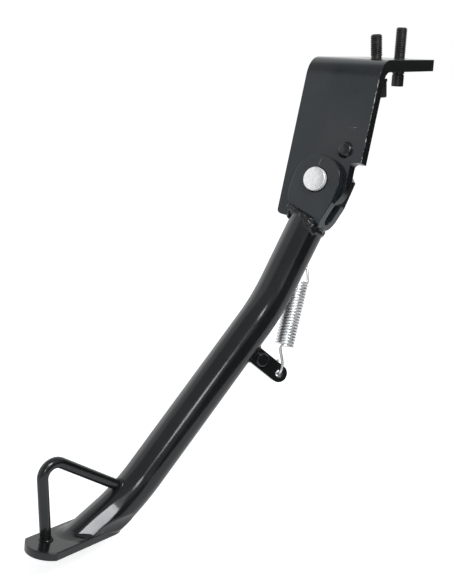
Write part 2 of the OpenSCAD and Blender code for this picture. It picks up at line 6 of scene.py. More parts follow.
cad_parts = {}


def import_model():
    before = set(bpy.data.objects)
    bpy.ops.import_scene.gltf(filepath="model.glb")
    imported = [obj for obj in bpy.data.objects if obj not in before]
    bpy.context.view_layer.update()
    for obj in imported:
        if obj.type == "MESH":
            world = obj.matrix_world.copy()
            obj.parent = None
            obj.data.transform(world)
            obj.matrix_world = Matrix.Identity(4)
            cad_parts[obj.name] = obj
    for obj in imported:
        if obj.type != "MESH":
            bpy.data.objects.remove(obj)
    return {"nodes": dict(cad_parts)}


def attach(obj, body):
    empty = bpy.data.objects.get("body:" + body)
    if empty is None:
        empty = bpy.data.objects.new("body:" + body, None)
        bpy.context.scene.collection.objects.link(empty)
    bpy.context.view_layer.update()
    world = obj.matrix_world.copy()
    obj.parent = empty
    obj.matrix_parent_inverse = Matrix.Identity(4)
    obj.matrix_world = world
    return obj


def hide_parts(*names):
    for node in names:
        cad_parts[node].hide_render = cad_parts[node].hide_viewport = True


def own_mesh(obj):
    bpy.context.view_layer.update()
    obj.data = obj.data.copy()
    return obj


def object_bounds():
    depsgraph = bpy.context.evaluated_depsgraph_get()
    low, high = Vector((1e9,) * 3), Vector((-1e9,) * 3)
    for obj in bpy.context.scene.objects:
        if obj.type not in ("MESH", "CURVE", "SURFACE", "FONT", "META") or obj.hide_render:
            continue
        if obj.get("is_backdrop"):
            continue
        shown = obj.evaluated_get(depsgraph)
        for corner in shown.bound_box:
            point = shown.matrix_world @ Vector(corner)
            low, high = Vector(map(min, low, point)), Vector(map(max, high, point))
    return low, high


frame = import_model()


def plain(v):
    return [plain(x) for x in v] if isinstance(v, (list, tuple, Vector)) else float(v)


size_at_start = plain(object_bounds())

MM = 0.001

# Sizes of the part in mm and degrees, as in its CAD source
PLATE_T, PLATE_LEAN, PLATE_RIGHT = 8.0, 18, 26.5
LEG_SWING, KNEE_ANGLE, ANKLE_ANGLE, GROUND_LEAN = 16, 21.0, 24.0, 8
TUBE_R, TUBE_BEND_R, TUBE_SHIFT, TUBE_TOP = 12.5, 95.0, 3.2, 24.0
UPPER_LEN, LOWER_LEN = 90.0, 158.0
THREAD_R, SHANK_R = 4.0, 3.5
PIN_R, PIN_HEAD_R, PIN_FACE, EAR_FACE = 5.0, 7.8, -13.7, -10.3
TREAD_SHIFT, HEEL = 4.0, 10.0
# The tread plate's half width and right side, a little inside its edge
TREAD_HALF, TREAD_SIDE = 13.3, 9.3

# Frames of the part, in mm
PIVOT = Vector((-6.0, -76.6484, -78.9377))


def rot(axis, deg):
    return Matrix.Rotation(math.radians(deg), 4, axis)


def move(x, y, z):
    return Matrix.Translation((x, y, z))


PLATE = Matrix.Translation(PIVOT) @ rot("X", -PLATE_LEAN)
LEG = PLATE @ move(0, PLATE_T / 2, 0) @ rot("Y", LEG_SWING)
FOOT_CENTRE = Vector((TUBE_SHIFT, -76.4196, -257.3037))
FOOT = LEG @ Matrix.Translation(FOOT_CENTRE) @ rot("Y", -LEG_SWING) @ rot("X", PLATE_LEAN) \
    @ rot("X", -GROUND_LEAN)
LOOP = FOOT @ rot("Z", -13.4591)
FRONT_BOLT = move(0.9, -20, 0) @ rot("Y", -5)
REAR_STUD = move(0, 20, 0)
STUD = PLATE @ move(13.5, 0, 22.5) @ rot("X", -90)
PIN = LEG @ rot("X", -90)
HOOK_FOOT = Vector((-16.7172, -100.324, -209.797))
HOOK_HEAD = Vector((-20.0, -41.9364, -69.1871))


# Camera, as solved from the photograph
AZIMUTH, PITCH, ROLL = 33.945, 15.871, 2.095
FOCAL_PX, IMAGE_H, SHIFT_PX = 900.6, 584.0, 0.5
EYE = PIVOT + Vector((282.2, -525.2, 90.0))


def linked(name, data):
    """A new object in the scene."""
    obj = bpy.data.objects.new(name, data)
    bpy.context.scene.collection.objects.link(obj)
    return obj


def camera():
    a, p, r = (math.radians(v) for v in (AZIMUTH, PITCH, ROLL))
    right = Vector((math.cos(a), math.sin(a), 0))
    up = Vector((-math.sin(a) * math.sin(p), math.cos(a) * math.sin(p), math.cos(p)))
    d = Vector((-math.sin(a) * math.cos(p), math.cos(a) * math.cos(p), -math.sin(p)))
    rr = right * math.cos(r) + up * math.sin(r)
    uu = up * math.cos(r) - right * math.sin(r)
    cam = bpy.data.cameras.new("camera")
    cam.sensor_fit = "VERTICAL"
    cam.sensor_height = 24.0
    cam.lens = cam.sensor_height * FOCAL_PX / IMAGE_H
    cam.shift_x = -SHIFT_PX / IMAGE_H
    cam.shift_y = SHIFT_PX / IMAGE_H
    cam.clip_start = 0.01
    cam.clip_end = 60.0
    cam.dof.use_dof = False
    obj = linked("camera", cam)
    place = EYE * MM
    obj.matrix_world = Matrix(((rr.x, uu.x, -d.x, place.x), (rr.y, uu.y, -d.y, place.y),
                               (rr.z, uu.z, -d.z, place.z), (0, 0, 0, 1)))
    bpy.context.scene.camera = obj


camera()


# Node helpers
class Nodes:
    """One material, with short calls that make and join its nodes."""

    def __init__(self, name):
        self.mat = bpy.data.materials.new(name)
        self.mat.use_nodes = True
        self.tree = self.mat.node_tree
        self.tree.nodes.clear()
        self.out = self.tree.nodes.new("ShaderNodeOutputMaterial")
        self.bsdf = self.tree.nodes.new("ShaderNodeBsdfPrincipled")
        self.tree.links.new(self.bsdf.outputs[0], self.out.inputs["Surface"])

    def set(self, n, key, v):
        s = n.inputs[key.replace("_", " ")] if isinstance(key, str) else n.inputs[key]
        if isinstance(v, bpy.types.NodeSocket):
            self.tree.links.new(v, s)
        else:
            s.default_value = v

    def new(self, kind, **sockets):
        n = self.tree.nodes.new(kind)
        for k, v in sockets.items():
            self.set(n, k, v)
        return n

    def coords(self):
        return self.new("ShaderNodeTexCoord").outputs["Object"]

    def noise(self, scale, detail=3.0, rough=0.5, co=None, distortion=0.0):
        n = self.new("ShaderNodeTexNoise", Scale=scale, Detail=detail, Roughness=rough,
                     Distortion=distortion)
        self.tree.links.new(co or self.coords(), n.inputs["Vector"])
        return n.outputs["Fac"]

    def ramp(self, fac, stops):
        n = self.new("ShaderNodeValToRGB")
        e = n.color_ramp.elements
        while len(e) < len(stops):
            e.new(0.5)
        for item, (pos, col) in zip(e, stops):
            item.position = pos
            item.color = (*col, 1.0) if hasattr(col, "__iter__") else (col, col, col, 1.0)
        self.tree.links.new(fac, n.inputs["Fac"])
        return n.outputs["Color"]

    def range(self, fac, lo, hi, out_lo=0.0, out_hi=1.0):
        n = self.new("ShaderNodeMapRange")
        self.tree.links.new(fac, n.inputs["Value"])
        for k, v in (("From Min", lo), ("From Max", hi), ("To Min", out_lo), ("To Max", out_hi)):
            n.inputs[k].default_value = v
        return n.outputs["Result"]

    def math(self, op, a, b=0.0):
        n = self.new("ShaderNodeMath")
        n.operation = op
        for i, v in enumerate((a, b)):
            self.set(n, i, v)
        return n.outputs[0]

    def mix(self, fac, a, b):
        n = self.new("ShaderNodeMix")
        n.data_type = "RGBA"
        for k, v in ((0, fac), (6, a), (7, b)):
            self.set(n, k, (*v, 1.0) if isinstance(v, tuple) else v)
        return n.outputs[2]

    def bump(self, height, strength, distance, normal=None):
        n = self.new("ShaderNodeBump", Strength=strength, Distance=distance)
        self.tree.links.new(height, n.inputs["Height"])
        if normal is not None:
            self.tree.links.new(normal, n.inputs["Normal"])
        return n.outputs["Normal"]

    def edge(self, radius):
        n = self.new("ShaderNodeBevel", Radius=radius)
        n.samples = 6
        return n.outputs["Normal"]

    def along(self, m, origin, axis, co=None):
        """Distance in mm along one axis of the frame m, from a point given in that frame."""
        at = (m @ Vector(origin)) * MM
        d = (m.to_3x3() @ Vector(axis)).normalized() / MM
        s = self.new("ShaderNodeVectorMath")
        s.operation = "SUBTRACT"
        self.tree.links.new(co or self.coords(), s.inputs[0])
        s.inputs[1].default_value = at
        p = self.new("ShaderNodeVectorMath")
        p.operation = "DOT_PRODUCT"
        self.tree.links.new(s.outputs[0], p.inputs[0])
        p.inputs[1].default_value = d
        return p.outputs["Value"]

    def strip(self, m, a, b, half, jitter=0.0, scale=300.0):
        """1 on a thin stroke from a to b in the frame m, and 0 off it."""
        a, b = Vector(a), Vector(b)
        run = b - a
        side = Vector((0, 1, 0)).cross(run).normalized()
        u = self.along(m, a, run)
        v = self.math("ABSOLUTE", self.along(m, a, side))
        if jitter:
            v = self.math("ADD", v, self.range(self.noise(scale, 3.0), 0.3, 0.7, -jitter, jitter))
        k = self.range(v, half, half * 0.5)
        k = self.math("MULTIPLY", k, self.range(u, -0.5, 1.0))
        k = self.math("MULTIPLY", k, self.range(u, run.length + 0.5, run.length - 1.0))
        front = self.range(self.math("ABSOLUTE", self.along(m, (0, 0, 0), (0, 1, 0))), 0.6, 0.2)
        return self.math("MULTIPLY", k, front)


# Materials
BARE_METAL = (0.55, 0.54, 0.52)
# Painted shade for the faces turned to the right
SHADED_SIDE = (0.006, 0.0065, 0.0065)
# Painted shade for the ring round the pin's head
PAINTED_SHADE = (0.003, 0.003, 0.003)
DUST = (0.10, 0.10, 0.10)
WARM_CLOUD = (0.0230, 0.0170, 0.0190)
BLACK_RANGE = (0.0065, 0.0068, 0.0070), (0.0110, 0.0118, 0.0124)
BLUE_RANGE = (0.0085, 0.0112, 0.0122), (0.0180, 0.0222, 0.0250)
BLACK_TINT, BLUE_TINT = (0.95, 0.98, 1.0, 1), (0.90, 0.98, 1.0, 1)
ZINC_TONE = 0.9
# Scratches on the plate: ends and half width
SCRATCHES = (((13.2, 0, 37.2), (18.6, 0, 38.0), 0.20),
             ((14.6, 0, 35.6), (17.4, 0, 36.6), 0.22),
             ((-5.5, 0, 17.5), (-4.2, 0, 18.8), 0.2))


def worn_and_shaded_edge(n):
    """Chips along the right edge of the plate's front, faint scratches, and painted shade with a duller
    finish on the cut faces turned to the right.
    """
    notch, bend = 13.0, 71.0
    x = n.along(PLATE, (PLATE_RIGHT, 0, 0), (-1, 0, 0))
    y = n.along(PLATE, (0, 0, 0), (0, 1, 0))
    z = n.along(PLATE, (0, 0, 0), (0, 0, 1))
    depth = n.math("MULTIPLY", n.math("MAXIMUM", y, 0.0), 1.4)
    dist = n.math("ADD", n.math("MAXIMUM", x, 0.0), depth)
    grain = n.noise(620.0, 4.0, 0.62)
    coarse = n.noise(190.0, 2.0, 0.5)
    reach = n.math("ADD", n.range(grain, 0.38, 0.62, -0.04, 0.36),
                   n.range(coarse, 0.36, 0.64, -0.12, 0.26))
    chip = n.range(n.math("SUBTRACT", reach, dist), 0.0, 0.16)
    chip = n.math("MULTIPLY", chip, n.range(z, notch, notch + 3.0))
    chip = n.math("MULTIPLY", chip, n.range(z, bend, bend - 3.0))
    chip = n.math("MULTIPLY", chip, n.range(x, -1.0, -0.3))
    for a, b, half in SCRATCHES:
        s = n.strip(PLATE, a, b, half, 0.12, 700.0)
        s = n.math("MULTIPLY", s, n.range(n.noise(800.0, 3.0), 0.42, 0.62))
        chip = n.math("MAXIMUM", chip, n.math("MULTIPLY", s, 0.35))
    # Faces turned to the right get painted shade
    face = n.new("ShaderNodeNewGeometry").outputs["Normal"]
    out = n.new("ShaderNodeVectorMath")
    out.operation = "DOT_PRODUCT"
    n.tree.links.new(face, out.inputs[0])
    out.inputs[1].default_value = (1, 0, 0)
    return chip, n.range(out.outputs["Value"], 0.55, 0.8), 0.0


def pin_distance(n):
    """Distance from the pivot pin's axis, in mm."""
    x = n.along(LEG, (0, 0, 0), (1, 0, 0))
    z = n.along(LEG, (0, 0, 0), (0, 0, 1))
    return n.math("SQRT", n.math("ADD", n.math("MULTIPLY", x, x), n.math("MULTIPLY", z, z)))


def strap_scratch_and_shade(n):
    """A light scratch over the pin, and a ring of painted shade round the pin's head."""
    ear = LEG @ move(0, EAR_FACE, 0)
    scratch = n.strip(ear, (-3.1, 0, 9.4), (-3.1, 0, 13.6), 0.26, 0.1, 600.0)
    scratch = n.math("MULTIPLY", scratch, n.range(n.noise(800.0, 3.0), 0.36, 0.6, 0.1, 0.4))
    # The third mask is the ring of painted shade round the pin's head
    return scratch, 0.0, n.range(pin_distance(n), PIN_HEAD_R + 0.9, PIN_HEAD_R + 0.5)


def paint(name, rough=0.15, edge=0.0007, wear_and_shade=None, peel=0.3, grit=0.08, blue=False):
    """Gloss black; masks from the given function give bare spots, faces turned to the right with painted
    shade and a duller finish, and a ring of painted shade.
    """
    n = Nodes(name)
    b = n.bsdf
    cloud = n.noise(34.0, 3.0, 0.5)
    low, high = BLUE_RANGE if blue else BLACK_RANGE
    base = n.ramp(cloud, [(0.32, low), (0.68, high)])
    if blue:
        base = n.mix(n.range(n.noise(24.0, 2.0, 0.5), 0.5, 0.66, 0.0, 0.6), base, WARM_CLOUD)
    dust = n.range(n.noise(1500.0, 1.0), 0.70, 0.78)
    base = n.mix(n.math("MULTIPLY", dust, 0.06), base, DUST)
    roughness = n.range(cloud, 0.3, 0.7, rough - 0.03, rough + 0.04)
    if wear_and_shade is not None:
        mask, dull_shaded_side, shade_ring = wear_and_shade(n)
        # Painted shade: a darker colour on the faces turned to the right
        base = n.mix(dull_shaded_side, base, SHADED_SIDE)
        base = n.mix(mask, base, BARE_METAL)
        # Painted shade: a near-black ring round the pin's head, which the metallic below keeps from
        # reflecting
        base = n.mix(shade_ring, base, PAINTED_SHADE)
        roughness = n.math("MAXIMUM", roughness, n.math("MULTIPLY", mask, 0.5))
        roughness = n.math("MAXIMUM", roughness, n.math("MULTIPLY", dull_shaded_side, 0.34))
        n.set(b, "Metallic", n.math("MAXIMUM", n.math("MULTIPLY", mask, 0.5), shade_ring))
    n.set(b, "Base Color", base)
    n.set(b, "Roughness", roughness)
    b.inputs["Specular IOR Level"].default_value = 0.5
    b.inputs["Specular Tint"].default_value = BLUE_TINT if blue else BLACK_TINT
    normal = n.edge(edge) if edge else None
    wave = n.bump(n.noise(170.0, 2.0, 0.5), peel, 0.00006, normal)
    if wear_and_shade is not None:
        wave = n.bump(n.math("SUBTRACT", 1.0, mask), 0.4, 0.00015, wave)
    n.set(b, "Normal", n.bump(n.noise(1100.0, 2.0, 0.5), grit, 0.00002, wave))
    return n.mat


def black_steel(name):
    n = Nodes(name)
    b = n.bsdf
    cloud = n.noise(300.0, 3.0, 0.6)
    low, high = (0.030, 0.030, 0.032), (0.065, 0.064, 0.060)
    n.set(b, "Base Color", n.ramp(cloud, [(0.3, low), (0.75, high)]))
    n.set(b, "Roughness", n.range(cloud, 0.3, 0.7, 0.24, 0.38))
    b.inputs["Metallic"].default_value = 0.6
    n.set(b, "Normal", n.bump(n.noise(1800.0, 2.0), 0.2, 0.00002, n.edge(0.00015)))
    return n.mat


def zinc(name, rough, rim=False):
    """Plated steel; rim makes the side of the pin's head duller."""
    n = Nodes(name)
    b = n.bsdf
    cloud = n.noise(520.0, 3.0, 0.6)
    spots = n.range(n.noise(1100.0, 2.0, 0.5), 0.58, 0.72)
    low, high, spot = (tuple(ZINC_TONE * v for v in rgb)
                       for rgb in ((0.86, 0.89, 0.90), (1.0, 1.01, 1.02), (0.5, 0.53, 0.54)))
    base = n.ramp(cloud, [(0.3, low), (0.62, high)])
    n.set(b, "Base Color", n.mix(n.math("MULTIPLY", spots, 0.2), base, spot))
    roughness = n.range(cloud, 0.3, 0.7, rough + 0.06, rough - 0.05)
    b.inputs["Metallic"].default_value = 1.0
    if rim:
        dull = n.range(pin_distance(n), PIN_HEAD_R - 0.55, PIN_HEAD_R - 0.25)
        roughness = n.math("MAXIMUM", roughness, n.math("MULTIPLY", dull, 0.5))
        n.set(b, "Metallic", n.math("SUBTRACT", 1.0, n.math("MULTIPLY", dull, 0.6)))
    n.set(b, "Roughness", roughness)
    n.set(b, "Normal", n.bump(n.noise(900.0, 3.0), 0.06, 0.00002))
    return n.mat


PAINT = paint("gloss_black")
PLATE_PAINT = paint("gloss_black_worn_and_shaded", wear_and_shade=worn_and_shaded_edge, blue=True)
STRAP_PAINT = paint("gloss_black_strap", edge=0.0012, wear_and_shade=strap_scratch_and_shade, blue=True)
ROUND_PAINT = paint("gloss_black_rounded", edge=0.0015)
WELD_PAINT = paint("gloss_black_weld", rough=0.14, edge=0.0, peel=0.2, grit=0.04)
STEEL = black_steel("black_oxide")
ZINC = zinc("zinc_plate", 0.22, rim=True)
WIRE = zinc("zinc_wire", 0.3)
# Every other node has the plain paint
NODE_MATERIALS = {
    "pivot_pin": ZINC, "pivot_washer": ZINC, "pivot_clip": ZINC, "spring": WIRE,
    "front_bolt": STEEL, "front_bolt_washer": STEEL, "rear_stud": STEEL,
    "bracket": PLATE_PAINT, "clevis": STRAP_PAINT, "foot_plate": ROUND_PAINT,
}
for node, obj in frame["nodes"].items():
    obj.data.materials.clear()
    obj.data.materials.append(NODE_MATERIALS.get(node, PAINT))


# Pieces
def placed(obj, body, node):
    """Ties a piece to its body and hides the CAD node that it stands for."""
    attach(obj, body)
    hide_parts(node)
    return obj


def piece(name, verts, faces, mat, body, node, sharp=35.0):
    """A smooth shaded piece from points in mm, with edges sharp from an angle in degrees."""
    me = bpy.data.meshes.new(name)
    me.from_pydata([tuple(Vector(v) * MM) for v in verts], [], faces)
    me.materials.append(mat)
    for poly in me.polygons:
        poly.use_smooth = True
    me.set_sharp_from_angle(angle=math.radians(sharp))
    return placed(linked(name, me), body, node)


def rings_mesh(rings, count, m):
    """Closed skin over rings of points, each ring with the same count; ends get a middle point."""
    verts = [m @ Vector(p) for ring in rings for p in ring]
    faces = []
    for i in range(len(rings) - 1):
        for k in range(count):
            a, b = i * count + k, i * count + (k + 1) % count
            faces.append((a, b, b + count, a + count))
    for i, turn in ((0, True), (len(rings) - 1, False)):
        mid = sum((m @ Vector(p) for p in rings[i]), Vector()) / count
        verts.append(mid)
        c = len(verts) - 1
        for k in range(count):
            a, b = i * count + k, i * count + (k + 1) % count
            faces.append((b, a, c) if turn else (a, b, c))
    return verts, faces


def ease(t):
    return t * t * (3 - 2 * t)


def turned(profile, count):
    """Rings about z; each profile entry is (radius or a function of the angle, height)."""
    rings = []
    for r, z in profile:
        ring = []
        for k in range(count):
            t = 2 * math.pi * k / count
            q = r(t) if callable(r) else r
            ring.append((q * math.cos(t), q * math.sin(t), z))
        rings.append(ring)
    return rings


def thread(start, end, r):
    """Profile of a helical thread between two heights, with its run-in and its chamfered end."""
    pitch, depth, chamfer, run_in = 1.25, 0.5, 1.1, 0.6
    rows = []
    n = int((end - start) / (pitch / 10))
    for i in range(n + 1):
        z = start + (end - start) * i / n

        def radius(t, z=z):
            s = (z / pitch - t / (2 * math.pi)) % 1.0
            tooth = min(1.0, 0.62 + 0.55 * math.cos(2 * math.pi * s))
            fade = min(1.0, (z - start) / run_in)
            top = r - max(0.0, z - (end - chamfer))
            return min(top, r - depth * (1 - tooth) * fade)
        rows.append((radius, z))
    return rows


def front_bolt():
    bottom, top = -26.2, -15.7
    head, hexa, socket = 7.0, 3.0, 5.2

    def hexagon(grow):
        return lambda t: (hexa + grow) / math.cos(t % (math.pi / 3) - math.pi / 6)

    rows = [(hexagon(0), bottom + socket), (hexagon(0), bottom + 0.5), (hexagon(0.35), bottom),
            (head - 1.0, bottom), (head - 0.55, bottom + 0.12), (head - 0.22, bottom + 0.4),
            (head, bottom + 0.9), (head, top - 0.25), (head - 0.2, top),
            (SHANK_R + 0.05, top), (SHANK_R + 0.05, 1.9)]
    rows += thread(2.0, 16.0, THREAD_R)
    verts, faces = rings_mesh(turned(rows, 60), 60, FRONT_BOLT)
    return piece("cap_screw", verts, faces, STEEL, "bracket", "front_bolt")


def rear_stud():
    low, r, groove_r = -19.5, 4.3, 3.75
    rows = [(r - 0.5, low), (r - 0.2, low + 0.1), (r, low + 0.45), (r, -11.45), (r - 0.15, -11.3),
            (groove_r, -11.2), (groove_r, -10.75), (r - 0.15, -10.65), (r, -10.5), (r, -PLATE_T),
            (SHANK_R, -PLATE_T), (SHANK_R, 0.0)]
    rows += thread(0.02, 21.5, THREAD_R)
    verts, faces = rings_mesh(turned(rows, 60), 60, REAR_STUD)
    return piece("threaded_stud", verts, faces, STEEL, "bracket", "rear_stud")


def tube_sweep(points, r, count):
    """Rings of radius r along the points, carried without twist."""
    dirs = [(points[min(i + 1, len(points) - 1)] - points[max(i - 1, 0)]).normalized()
            for i in range(len(points))]
    turns = [2 * math.pi * k / count for k in range(count)]
    side = dirs[0].orthogonal().normalized()
    rings = []
    for p, way in zip(points, dirs):
        side = (side - way * side.dot(way)).normalized()
        other = way.cross(side)
        rings.append([p + (side * math.cos(t) + other * math.sin(t)) * r for t in turns])
    return rings


def resampled(points, step):
    """Points at even steps along a line of points."""
    out = [points[0]]
    left = step
    for a, b in zip(points, points[1:]):
        run = (b - a).length
        at = 0.0
        while run - at >= left:
            at += left
            out.append(a.lerp(b, at / run))
            left = step
        left -= run - at
    if (out[-1] - points[-1]).length > step * 0.3:
        out.append(points[-1])
    return out


def smoothed(points, rounds):
    """The line with its corners softened and its ends held."""
    for _ in range(rounds):
        inner = [(a + b * 2 + c) / 4 for a, b, c in zip(points, points[1:], points[2:])]
        points = [points[0]] + inner + [points[-1]]
    return points


def spring():
    """Tension spring: lower hook, coil, and a long upper hook, swept along one line."""
    run = HOOK_HEAD - HOOK_FOOT
    m = Matrix.Translation(HOOK_FOOT) @ rot("Z", math.degrees(math.atan2(run.y, run.x))) \
        @ rot("Y", math.degrees(math.acos(run.z / run.length)))
    lug_roll, post_roll = math.radians(-129.835), math.radians(86.93)
    wire, coil_r, land, pitch, turns = 0.95, 5.85, 4.25, 2.025, 22 + 4 / 15
    low_r, high_r, high_lead, length = land + 0.35, 3.75, 27.3, run.length
    turn_in, rise_in = 0.24, 1.3
    start = lug_roll - math.radians(32)
    low = 19.5
    high = low + turns * pitch
    half_turn = [math.radians(6 * i) for i in range(31)]

    def polar(r, a, z):
        return Vector((r * math.cos(a), r * math.sin(a), z))

    def hook(roll, x, z):
        return Vector((x * math.cos(roll), x * math.sin(roll), z))

    def lead(a, b, first, last):
        """From a to b at an even rise, eased sideways."""
        for i in range(first, last):
            t = ease(i / 20)
            yield Vector((a.x + (b.x - a.x) * t, a.y + (b.y - a.y) * t, a.z + (b.z - a.z) * i / 20))

    pts = [hook(lug_roll, -low_r, land + 5), hook(lug_roll, -low_r, land + 2)]
    pts += [hook(lug_roll, low_r * math.cos(a), land + low_r * math.sin(a))
            for a in (math.radians(180 + 6 * i) for i in range(31))]
    pts += lead(hook(lug_roll, low_r, land + 1), polar(coil_r, start - turn_in, low - rise_in), 1, 20)
    count = int(turns * 48)
    for i in range(count + 1):
        s = turns * 2 * math.pi * i / count
        pts.append(polar(coil_r, start + s, low + pitch * turns * i / count))
    end = start + turns * 2 * math.pi
    top = polar(coil_r, end + turn_in, high + rise_in)
    pts += lead(top, hook(post_roll, high_r, high + high_lead), 0, 21)
    pts += [hook(post_roll, high_r * math.cos(a), length + high_r * math.sin(a)) for a in half_turn]
    pts.append(hook(post_roll, -high_r, length - 5))
    pts = smoothed(resampled(pts, 0.45), 4)
    verts, faces = rings_mesh(tube_sweep(pts, wire, 12), 12, m)
    obj = piece("tension_spring", verts, faces, WIRE, "spring", "spring", 60.0)
    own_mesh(obj)
    return obj


def leg_route():
    """The tube's centre line in the leg's frame: points and directions, then the end's own."""
    step = 6.0
    pts, dirs = [], []
    p, angle = Vector((TUBE_SHIFT, 0, -TUBE_TOP)), 0.0

    def heading(a):
        return Vector((0, -math.sin(math.radians(a)), -math.cos(math.radians(a))))

    def straight(length):
        nonlocal p
        n = max(1, int(length / step))
        for _ in range(n):
            pts.append(p.copy())
            dirs.append(heading(angle))
            p = p + heading(angle) * (length / n)

    def bend(turn):
        nonlocal p, angle
        n = 28
        for _ in range(n):
            pts.append(p.copy())
            dirs.append(heading(angle))
            chord = 2 * TUBE_BEND_R * math.sin(math.radians(turn / n / 2))
            p = p + heading(angle + turn / n / 2) * chord
            angle += turn / n

    knee_t = TUBE_BEND_R * math.tan(math.radians(KNEE_ANGLE / 2))
    ankle_t = TUBE_BEND_R * math.tan(math.radians(ANKLE_ANGLE / 2))
    straight(UPPER_LEN - TUBE_TOP - knee_t)
    bend(KNEE_ANGLE)
    straight(LOWER_LEN - knee_t - ankle_t)
    bend(ANKLE_ANGLE)
    return pts, dirs, p, heading(angle)


def pressed(q, centre, s):
    """A skin point s mm up from the tread plate, pressed flat on the tube's upper right
    and kept in line with the plate's side."""
    press, fade, side_fade = 0.85, 31, 40
    depth = press * min(1.0, max(0.0, 1 - s / fade))
    flat = Vector((0.65, -0.50, 0.58)).normalized()
    over = (q - centre).dot(flat) - (TUBE_R - depth)
    if depth > 0 and over > 0:
        q = q - flat * over
    z = max(0.0, q.z)
    side = TREAD_SIDE + 0.12 * z + 0.03 * z * z + 0.15 * max(0.0, q.y + 4)
    return Vector((min(q.x, side), q.y, q.z)) if s < side_fade else q


def leg_tube():
    """The tube's skin, with close rings at its slanted and pressed end."""
    count, end_rings, pressed_len = 128, 10, 60
    pts, dirs, _, last = leg_route()
    across = Vector((1, 0, 0))
    rings, centres = [], []
    for p, d in zip(pts, dirs):
        other = d.cross(across)
        centres.append(LEG @ p)
        rings.append([LEG @ (p + (across * math.cos(t) + other * math.sin(t)) * TUBE_R)
                      for t in (2 * math.pi * k / count for k in range(count))])
    # The slanted end runs a little into the tread plate
    up = (FOOT.to_3x3() @ Vector((0, 0, 1))).normalized()
    base = FOOT @ Vector((0, 0, -1.0))
    way = (LEG.to_3x3() @ last).normalized()

    def room(q):
        """Distance from q along the tube to the slanted end."""
        return (base - q).dot(up) / way.dot(up)

    while min(room(q) for q in rings[-1]) < 0.2:
        rings.pop()
        centres.pop()
    foot = FOOT.translation
    last_ring = rings[-1]
    below = [q + way * room(q) for q in last_ring]
    for i in range(1, end_rings + 1):
        rings.append([a.lerp(b, i / end_rings) for a, b in zip(last_ring, below)])
        centres.append(centres[-1].lerp(foot, 1 / (end_rings + 1 - i)))
    back = FOOT.inverted()
    for i, c in enumerate(centres):
        if (c - foot).length < pressed_len:
            rings[i] = [FOOT @ pressed(back @ q, back @ c, (q - foot).dot(-way)) for q in rings[i]]
    verts, faces = rings_mesh(rings, count, Matrix.Identity(4))
    return piece("tube_skin", verts, faces, PAINT, "leg", "leg_tube", 50.0)


def settled(obj, voxel, rounds, lumps, size, swell=0.0):
    """Remesh an object into one skin, smooth it, and give it low irregular lumps."""
    mod = obj.modifiers.new("remesh", "REMESH")
    mod.mode = "VOXEL"
    mod.voxel_size = voxel * MM
    soft = obj.modifiers.new("soft", "SMOOTH")
    soft.factor = 0.5
    soft.iterations = rounds
    deps = bpy.context.evaluated_depsgraph_get()
    me = bpy.data.meshes.new_from_object(obj.evaluated_get(deps))
    obj.modifiers.clear()
    obj.data = me
    normals = [v.normal.copy() for v in me.vertices]
    for v, nrm in zip(me.vertices, normals):
        q = v.co / MM
        wave = lumps * noise.noise(q * size) + lumps * 0.4 * noise.noise(q * size * 2.7)
        v.co += nrm * (swell + wave) * MM
    me.materials.clear()
    me.materials.append(WELD_PAINT)
    for poly in me.polygons:
        poly.use_smooth = True


def bead(node, voxel, rounds, lumps, swell):
    """A weld bead from the node's own form, with soft edges and low lumps."""
    obj = linked(node + "_bead", frame["nodes"][node].data.copy())
    settled(obj, voxel, rounds, lumps, 0.5, swell)
    return placed(obj, "leg", node)


def run_of_balls(route, step, r, seed):
    """Overlapping balls along a route, which melt into one rippled bead."""
    balls = []
    pts = resampled([Vector(q) for q in route], step)
    for i, q in enumerate(pts):
        k = noise.noise(Vector((i * 0.83, seed, 0.3)))
        j = noise.noise(Vector((seed, i * 0.71, 0.9)))
        balls.append((q + Vector((0.25 * j, 0.3 * k, 0.5 * j)), r * (1 + 0.22 * k)))
    return balls


def ball_piece(name, balls, m, node):
    """One bead from many overlapping balls."""
    verts, faces = [], []
    rows, cols = 8, 12
    for c, r in balls:
        base = len(verts)
        for i in range(rows + 1):
            e = math.pi * i / rows
            for k in range(cols):
                t = 2 * math.pi * k / cols
                way = Vector((math.sin(e) * math.cos(t), math.sin(e) * math.sin(t), math.cos(e)))
                verts.append((m @ (c + way * r)) * MM)
        for i in range(rows):
            for k in range(cols):
                a, b = base + i * cols + k, base + i * cols + (k + 1) % cols
                faces.append((a, a + cols, b + cols, b))
    me = bpy.data.meshes.new(name)
    me.from_pydata([tuple(v) for v in verts], [], faces)
    obj = linked(name, me)
    settled(obj, 0.35, 9, 0.3, 0.42)
    return placed(obj, "leg", node)


def beads():
    # Route, step, radius and seed of each run: front left and right, right side, back, left side
    runs = (
        ([(-9.3, -9.3, -23.6), (-3, -10.3, -24.6), (2.5, -10.5, -25.2)], 1.2, 2.2, 1.7),
        ([(3.0, -10.2, -25.4), (6.5, -9.8, -27.2), (9.8, -8.8, -29.6), (12.6, -6.4, -31.2)], 1.2, 3.1, 3.9),
        ([(8.0, -10.2, -27.2), (11.0, -8.6, -28.6), (13.4, -5.0, -30.4), (14.0, 0, -31.2),
          (13.6, 4, -31.0), (12.2, 7.2, -30.0), (9.0, 9.0, -28.2)], 1.3, 2.5, 8.4),
        ([(9.5, 9.2, -27.6), (3.2, 10.4, -25.2), (-3, 10.2, -24.6), (-9.0, 9.2, -23.8)], 1.2, 2.2, 6.6),
        ([(-9.6, -8.6, -24.6), (-9.9, -4, -29.5), (-9.9, 0, -31.0), (-9.9, 4, -29.5),
          (-9.6, 8.6, -24.6)], 1.2, 1.5, 5.2),
    )
    balls = [ball for run in runs for ball in run_of_balls(*run)]
    ball_piece("clevis_bead", balls, LEG, "clevis_weld")
    bead("loop_weld", 0.3, 8, 0.08, -0.4)
    bead("lug_weld", 0.3, 8, 0.12, -0.2)


